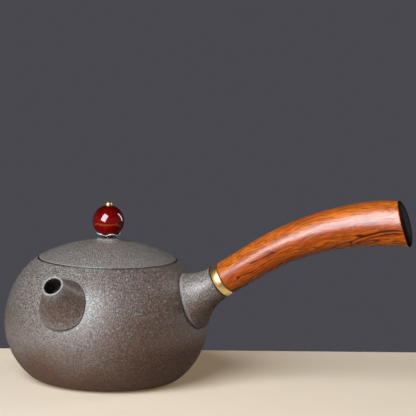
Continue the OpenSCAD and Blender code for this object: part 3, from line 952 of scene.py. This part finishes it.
gripSize = {
    "glue": 0.15, "ferruleW": 3.8, "ferruleR": 7.95, "ferruleCrown": 0.25, "ferruleRound": 0.18,
    "ferruleSides": 112,
    "startR": 8.2, "endH": 23.0, "endW": 18.0, "midH": 18.3, "straight": 19.0, "bendR": 133.0,
    "endSlope": 1.0, "draw": 1.6, "drawLen": 11.0, "lean": 15.6, "skew": 8.0, "leanLen": 18.0,
    "edgeRound": 0.35, "rings": 96, "sides": 72,
    "plankBow": 0.00115,   # how far the plank's lines bow, 1/mm
    "seamDark": 0.9, "polishFrom": (-0.5, 0.1),
    "capH": 2.7, "capRound": 0.22, "capSides": 96, "capRings": 64,
}

straight, bendR, draw = pick(gripSize, "straight", "bendR", "draw")
handleStand = stemFrame(socketSize)
handleTurn = turnBy(socketSize["turn"], "Z")
ferruleFrom = socketSize["length"] + gripSize["glue"]
gripFrom = ferruleFrom + gripSize["ferruleW"] + gripSize["glue"]
bendDeg = socketSize["rise"] - gripSize["endSlope"]
gripLen = straight + bendR * radians(bendDeg)
startD = 2 * gripSize["startR"]
swellPower = log((gripSize["endH"] - startD) / (gripSize["midH"] - startD)) / log(2)


def bentAt(along):
    return max(along - straight, 0) / bendR


def gripAt(along):
    # centre line in the plane of the handle: out from the axis of the pot, and up
    rise, bent = radians(socketSize["rise"]), bentAt(along)
    seat = Vector(shoulderAt(socketSize["drop"]))
    way = Vector((cos(rise), sin(rise)))
    turn = Vector((sin(rise) - sin(rise - bent), cos(rise - bent) - cos(rise)))
    return seat + way * (gripFrom + min(along, straight)) + turn * bendR


def towardsEnd(along, length):
    return ramp(along, gripLen - length, gripLen)


def gripPoint(along, t):
    # a point of the oval side, in the frame of the part
    lean = radians(gripSize["lean"]) * towardsEnd(along, gripSize["leanLen"])
    skew = radians(gripSize["skew"]) * towardsEnd(along, gripSize["leanLen"])
    swell = (along / gripLen) ** swellPower
    drawn = draw * towardsEnd(along, gripSize["drawLen"])
    halfH = (startD + (gripSize["endH"] - startD) * swell - drawn) / 2 / cos(lean)
    halfW = (startD + (gripSize["endW"] - startD) * swell - drawn) / 2
    slope = radians(socketSize["rise"]) - bentAt(along) + lean
    up, side = halfH * sin(t), halfW * cos(t)
    out = -side * tan(skew)
    centre = gripAt(along)
    return handleTurn @ Vector((centre.x - up * sin(slope) + out * cos(slope), side,
                                centre.y + up * cos(slope) + out * sin(slope)))


def endStand():
    # stand on the end face of the grip with Z out of it
    centre = gripAt(gripLen)
    stand = handleTurn @ Matrix.Translation((centre.x, 0, centre.y))
    stand = stand @ turnBy(90 - gripSize["endSlope"] - gripSize["lean"], "Y")
    return stand @ turnBy(-gripSize["skew"], "X")


def makeFerrule():
    inner, outer, wide = socketSize["boreEndR"], gripSize["ferruleR"], gripSize["ferruleW"]
    crown = gripSize["ferruleCrown"]
    outline = [(inner, ferruleFrom)]
    for u in steps(-1, 1, 12):
        outline.append((outer - crown * u ** 2, ferruleFrom + wide * (u + 1) / 2))
    outline += [(inner, ferruleFrom + wide), outline[0]]
    piece = latheOutline("ferruleBand", outline, gripSize["ferruleSides"])
    softenEdges(piece, gripSize["ferruleRound"])
    standOn(piece, handleStand)
    return piece


def grainPlace(place):
    # where a point lies in the plank: along it, across it and up, part straightened
    flat = handleTurn.inverted() @ place
    rise = radians(socketSize["rise"])
    seat = Vector(shoulderAt(socketSize["drop"])) + Vector((cos(rise), sin(rise))) * gripFrom
    gone = Vector((flat.x, flat.z)) - seat
    along = gone.x * cos(rise) + gone.y * sin(rise)
    up = gone.y * cos(rise) - gone.x * sin(rise)
    if along > straight:
        fromCentre = Vector((along - straight, up + bendR))
        bent = atan2(fromCentre.x, fromCentre.y)
        along = straight + bendR * bent
        up = fromCentre.length - bendR
    bow = gripSize["plankBow"] * (along - gripLen / 2) ** 2   # the plank stays half straight
    return Vector((along, flat.y, up - bow)) * mm


def gripAlong(place):
    # mm past the near end of the grip, straight along the socket's axis
    return (place - handleStand.translation).dot(handleStand.col[2].to_3d()) - gripFrom


def makeGrip():
    # a grid wrapped round the bent axis, with its ends filled
    rings, sides = gripSize["rings"], gripSize["sides"]
    deselectAll()
    bpy.ops.mesh.primitive_grid_add(x_subdivisions=rings, y_subdivisions=sides, size=1)
    piece = nameNew("gripWood")
    for vertex in piece.data.vertices:
        along, t = (vertex.co.x + 0.5) * gripLen, (vertex.co.y + 0.5) * 2 * pi
        vertex.co = gripPoint(along, t) * mm
    enter("EDIT")
    bpy.ops.mesh.select_mode(type="EDGE")
    choose("SELECT")
    bpy.ops.mesh.remove_doubles(threshold=0.002 * mm)
    choose("DESELECT")
    bpy.ops.mesh.select_non_manifold(extend=False)
    bpy.ops.mesh.edge_face_add()
    closeUp()
    softenEdges(piece, gripSize["edgeRound"])
    layer = piece.data.attributes.new("grain", "FLOAT_VECTOR", "POINT")
    for vertex, entry in zip(piece.data.vertices, layer.data):
        entry.vector = grainPlace(vertex.co / mm)
    # painted shade where the grip meets the ferrule
    paintValue(piece, "seamShade", lambda place: gripSize["seamDark"] * ramp(gripAlong(place), 0.55, 0.25))
    paintPolish(piece, *gripSize["polishFrom"])
    return piece


def makeEndCap():
    # half a ball flattened on the end face
    halfH = (gripSize["endH"] - draw) / 2 / cos(radians(gripSize["lean"]))
    halfW = (gripSize["endW"] - draw) / 2 / cos(radians(gripSize["skew"]))
    deselectAll()
    bpy.ops.mesh.primitive_uv_sphere_add(segments=gripSize["capSides"], ring_count=gripSize["capRings"],
                                         radius=1)
    piece = nameNew("endDome")
    enter("EDIT")
    choose("SELECT")
    bpy.ops.mesh.bisect(plane_co=(0, 0, 0.0001), plane_no=(0, 0, 1), use_fill=True, clear_inner=True)
    enter("OBJECT")
    piece.scale = (halfH * mm, halfW * mm, gripSize["capH"] * mm)
    applyPlace(piece)
    softenEdges(piece, gripSize["capRound"])
    standOn(piece, endStand() @ Matrix.Translation((0, 0, gripSize["glue"])))
    return piece


rosewoodLook = {
    "orange": (0.76, 0.192, 0.014, 1),
    "red": (0.57, 0.099, 0.009, 1), "redFrom": (0.36, 0.62),
    "streak": (0.25, 0.043, 0.005, 1), "streakFrom": (0.43, 0.62), "streakShare": 0.62,
    "pore": (0.14, 0.023, 0.004, 1), "poreShare": 0.55, "poreDepth": 0.08,   # mm
    "vein": (0.05, 0.01, 0.005, 1),
    "veinFrom": (3.5, -1.5),   # mm up in the plank, from the fewest veins to the most
    # painted shade in the joint with the ferrule
    "seamShade": (0.012, 0.005, 0.004, 1),
    "gloss": 0.12, "coatRough": 0.29, "coatIor": 1.7,
}
darkWoodLook = {
    "deep": (0.01, 0.004, 0.0035, 1), "dark": (0.023, 0.009, 0.0065, 1), "gloss": 0.04,
    "layerScale": 160.0, "lean": 70.0,   # degrees that its grain stands up
}


def makeRosewood():
    look = rosewoodLook
    material, tree, shader = newMaterial("oiledRosewood")
    grain = attribute(tree, "grain", "Vector")
    wood = addNode(tree, "Group", {"Place": grain}, node_tree=figuredWood)
    streaks, pores = wood["Streaks"], wood["Pores"]
    lowDown = betweenMm(tree, upward(tree, grain), look["veinFrom"])
    base = mixColours(tree, between(tree, wood["Layers"], *look["redFrom"]), look["orange"], look["red"])
    base = layOver(tree, base, look, [
        (between(tree, streaks, *look["streakFrom"]), look["streakShare"], "streak"),
        (pores, look["poreShare"], "pore"),
        (wood["Veins"], timesAdd(tree, lowDown, 0.85, 0.1), "vein"),
        (attribute(tree, "seamShade"), 1.0, "seamShade")])
    rough = timesAdd(tree, streaks, 0.2, 0.2)
    plug(tree, shader, {
        "Base Color": base, "Roughness": timesAdd(tree, pores, 0.15, rough),
        "Coat Weight": attribute(tree, "polish"),   # oil, polished by the hand
        "Coat Roughness": look["coatRough"], "Coat IOR": look["coatIor"],
        "Specular IOR Level": look["gloss"],
        "Normal": bumpOf(tree, maths(tree, "ADD", pores, streaks), 0.15, look["poreDepth"], invert=True)})
    return material


def makeDarkWood():
    look = darkWoodLook
    material, tree, shader = newMaterial("polishedDarkWood")
    stood = (0, radians(look["lean"]), 0)
    turned = addNode(tree, "Mapping", {"Vector": objectPlace(tree), "Rotation": stood})
    wood = addNode(tree, "Group", {"Place": turned["Vector"], "Layer Scale": look["layerScale"]},
                   node_tree=figuredWood)
    base = mixColours(tree, between(tree, wood["Streaks"], 0.35, 0.65), look["deep"], look["dark"])
    rough = timesAdd(tree, wood["Pores"], 0.15, 0.5)
    plug(tree, shader, {"Base Color": base, "Roughness": rough, "Specular IOR Level": look["gloss"]})
    return material


finishPiece(makeFerrule(), goldBrass, "pot", "ferrule", 45)
grip = makeGrip()
finishPiece(grip, makeRosewood(), "pot", "handle_grip", 45)
finishPiece(makeEndCap(), makeDarkWood(), "pot", "handle_end_cap", 45)
print("handle made:", len(grip.data.polygons), "faces in the grip")


# nodes kept as they are get a finish only
keptNodes = {"strainer": stoneware, "knob_washer": goldBrass, "knob_nut": goldBrass}
for nodeName, finish in keptNodes.items():
    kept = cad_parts[nodeName]
    kept.data.materials.clear()
    kept.data.materials.append(finish)
print("kept nodes dressed:", ", ".join(keptNodes))


# floor, light and camera
stageLook = {
    "viewTurn": 24.2,        # degrees round the pot
    "viewDip": 7.29,         # degrees down
    "viewRoll": 1.55,
    "eye": (48.62, -971.58, 210.44),   # mm, before the turn
    "focal": 2000.0,         # pixels
    "imageWidth": 416.0,     # pixels
    "floorBack": 72.0,       # mm from the axis of the pot to the back edge of the floor
    "floorTurn": 5.0,        # degrees, its left end nearer
    "floorDrop": 0.2,        # mm below the foot of the pot
    "floorFront": 92.0,
    "floorLeft": 130.0,
    "floorRight": 185.0,
    "floorColour": (0.97, 0.86, 0.69, 1),
    "floorBounce": (0.11, 0.075, 0.045, 1),   # what the floor throws back on the pot
    "floorLift": (0.11, 0.07, 0.03, 1),
    "backdrop": (0.066, 0.066, 0.078, 1),
    "ceiling": (0.012, 0.012, 0.014, 1),
    "fill": (1.0, 0.95, 0.9, 1),
    "fillStrength": 0.018,
    "lightsAim": 40.0,       # mm up the axis of the pot
}
softboxes = [
    # name, direction from the pot (right, up, towards the camera), distance, size, turn, power, colour
    ("keySoftbox", (-0.44, 0.345, 0.83), 1.05, (0.68, 0.98), -20, 18.2, (0.94, 0.975, 1.05)),
    ("sideStrip", (0.88, 0.37, -0.3), 0.85, (0.13, 0.62), 20, 1.6, (1.0, 0.98, 0.96)),
]
viewTurn = turnBy(stageLook["viewTurn"], "Z")
viewAim = turnBy(90 - stageLook["viewDip"], "X")


def seenDirectly(tree):
    # 1 for what the camera sees, in a mirror or through glass too
    rays = addNode(tree, "LightPath")
    seen = maths(tree, "MAXIMUM", rays["Is Camera Ray"], rays["Is Glossy Ray"])
    return maths(tree, "MAXIMUM", seen, rays["Is Transmission Ray"])


def makeFloor():
    back, front = stageLook["floorBack"], stageLook["floorFront"]
    left, right = stageLook["floorLeft"], stageLook["floorRight"]
    deselectAll()
    bpy.ops.mesh.primitive_plane_add(size=1)
    floor = nameNew("paleFloor")
    floor.scale = ((left + right) * mm, (front + back) * mm, 1)
    turn = turnBy(stageLook["viewTurn"] + stageLook["floorTurn"], "Z")
    middle = Vector(((right - left) / 2, (back - front) / 2, -stageLook["floorDrop"])) * mm
    floor.matrix_world = turn @ Matrix.Translation(middle) @ floor.matrix_basis
    applyPlace(floor)
    material, tree, shader = newMaterial("paleFloor")
    pale = stageLook["floorColour"]
    deeper = tuple(0.93 * channel for channel in pale[:3]) + (1,)
    top = mixColours(tree, noise(tree, objectPlace(tree), 60.0, 4.0), pale, deeper)
    plug(tree, shader, {
        "Base Color": mixColours(tree, seenDirectly(tree), stageLook["floorBounce"], top),
        "Roughness": 0.8, "Emission Color": stageLook["floorLift"],
        "Emission Strength": addNode(tree, "LightPath")["Is Camera Ray"]})
    floor.data.materials.append(material)


def makeCamera():
    deselectAll()
    bpy.ops.object.camera_add()
    camera = bpy.context.object
    camera.data.sensor_width = 36.0
    camera.data.lens = 36.0 * stageLook["focal"] / stageLook["imageWidth"]
    camera.data.clip_start = 0.05
    roll = turnBy(stageLook["viewRoll"], "Z")
    camera.matrix_world = viewTurn @ Matrix.Translation(Vector(stageLook["eye"]) * mm) @ viewAim @ roll
    bpy.context.scene.camera = camera


def makeLights():
    facingView = viewTurn.to_3x3() @ viewAim.to_3x3()
    target = Vector((0, 0, stageLook["lightsAim"] * mm))
    for name, way, distance, size, turn, power, colour in softboxes:
        out = (facingView @ Vector(way)).normalized()
        deselectAll()
        bpy.ops.object.light_add(type="AREA", location=target + out * distance)
        lamp = bpy.context.object
        lamp.name = name
        lamp.data.shape = "RECTANGLE"
        lamp.data.size, lamp.data.size_y = size
        lamp.data.energy = power
        lamp.data.color = colour
        facing = out.to_track_quat("Z", "Y").to_matrix().to_4x4() @ turnBy(turn, "Z")
        lamp.rotation_euler = facing.to_euler()


def makeWorld():
    world = bpy.data.worlds.new("softStudio")
    bpy.context.scene.world = world
    world.use_nodes = True
    tree = world.node_tree
    tree.nodes.clear()
    fill = addNode(tree, "Background", {"Color": stageLook["fill"],
                                        "Strength": stageLook["fillStrength"]})
    height = upward(tree, addNode(tree, "TexCoord")["Generated"])
    room = mixColours(tree, between(tree, height, 0.2, 0.55), stageLook["backdrop"], stageLook["ceiling"])
    plain = addNode(tree, "Background", {"Color": room, "Strength": 1.0})
    mix = addNode(tree, "MixShader", {0: seenDirectly(tree), 1: fill[0], 2: plain[0]})
    addNode(tree, "OutputWorld", {"Surface": mix[0]})


makeFloor()
makeCamera()
makeLights()
makeWorld()
bpy.context.scene.view_settings.view_transform = "Standard"
print("floor, camera and light set")
